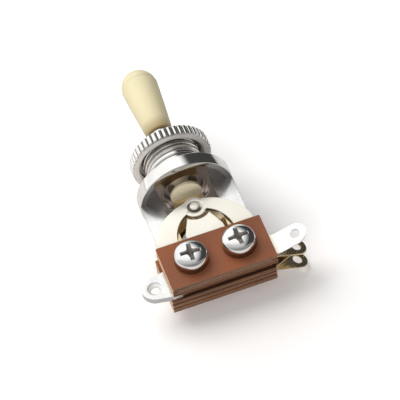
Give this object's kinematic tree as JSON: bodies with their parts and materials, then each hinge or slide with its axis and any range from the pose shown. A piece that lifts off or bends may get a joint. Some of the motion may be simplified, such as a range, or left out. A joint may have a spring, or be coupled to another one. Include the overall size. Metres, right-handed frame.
{
  "type": "guitar toggle switch",
  "caption": "Lever toggle switch for a guitar, with a threaded bushing, knurled panel nut, cream tip and a screwed stack of contact leaves with solder lugs.",
  "frame": {"origin": "on the bushing's axis in the flange's upper face, which seats against the back of a panel", "axes": "+Z along the bushing to the lever's tip, +X to the contact lugs, -Y to the screw heads"},
  "size_m": [0.0346, 0.02, 0.0589],
  "materials": {
    "bushing_metal": "polished",
    "retainer_metal": "plain",
    "frame_metal": "bright zinc",
    "nut_metal": "polished",
    "lever_metal": "satin",
    "tip_plastic": "satin",
    "plate_phenolic": "paper laminate",
    "insulator_phenolic": "paper laminate",
    "leaf_metal": "bright nickel silver",
    "contact_metal": "bright",
    "screw_metal": "polished",
    "sleeve_plastic": "plain"
  },
  "bodies": {
    "switch_body": {"bushing": "bushing_metal", "ball_retainer": "retainer_metal", "frame": "frame_metal", "front_plate": "plate_phenolic", "front_leaf": "leaf_metal", "front_contact": "contact_metal", "front_insulator": "insulator_phenolic", "front_common_leaf": "leaf_metal", "front_common_contact": "contact_metal", "front_inner_insulator": "insulator_phenolic", "rear_inner_insulator": "insulator_phenolic", "rear_common_leaf": "leaf_metal", "rear_common_contact": "contact_metal", "rear_insulator": "insulator_phenolic", "rear_leaf": "leaf_metal", "rear_contact": "contact_metal", "rear_plate": "plate_phenolic", "left_screw": "screw_metal", "right_screw": "screw_metal", "left_sleeve": "sleeve_plastic", "right_sleeve": "sleeve_plastic", "left_nut": "screw_metal", "right_nut": "screw_metal"},
    "lever": {"lever": "lever_metal", "lever_tip": "tip_plastic"},
    "knurled_nut": {"knurled_nut": "nut_metal"}
  },
  "joints": [
    {"name": "lever_tilt", "type": "hinge", "parent": "switch_body", "child": "lever", "pos_m": [0, 0, 0.005], "axis": [1, 0, 0], "range_deg": [-12, 12]},
    {"name": "nut_travel", "type": "slide", "parent": "switch_body", "child": "knurled_nut", "axis": [0, 0, 1], "range_m": [-0.0066, 0.0026]}
  ]
}
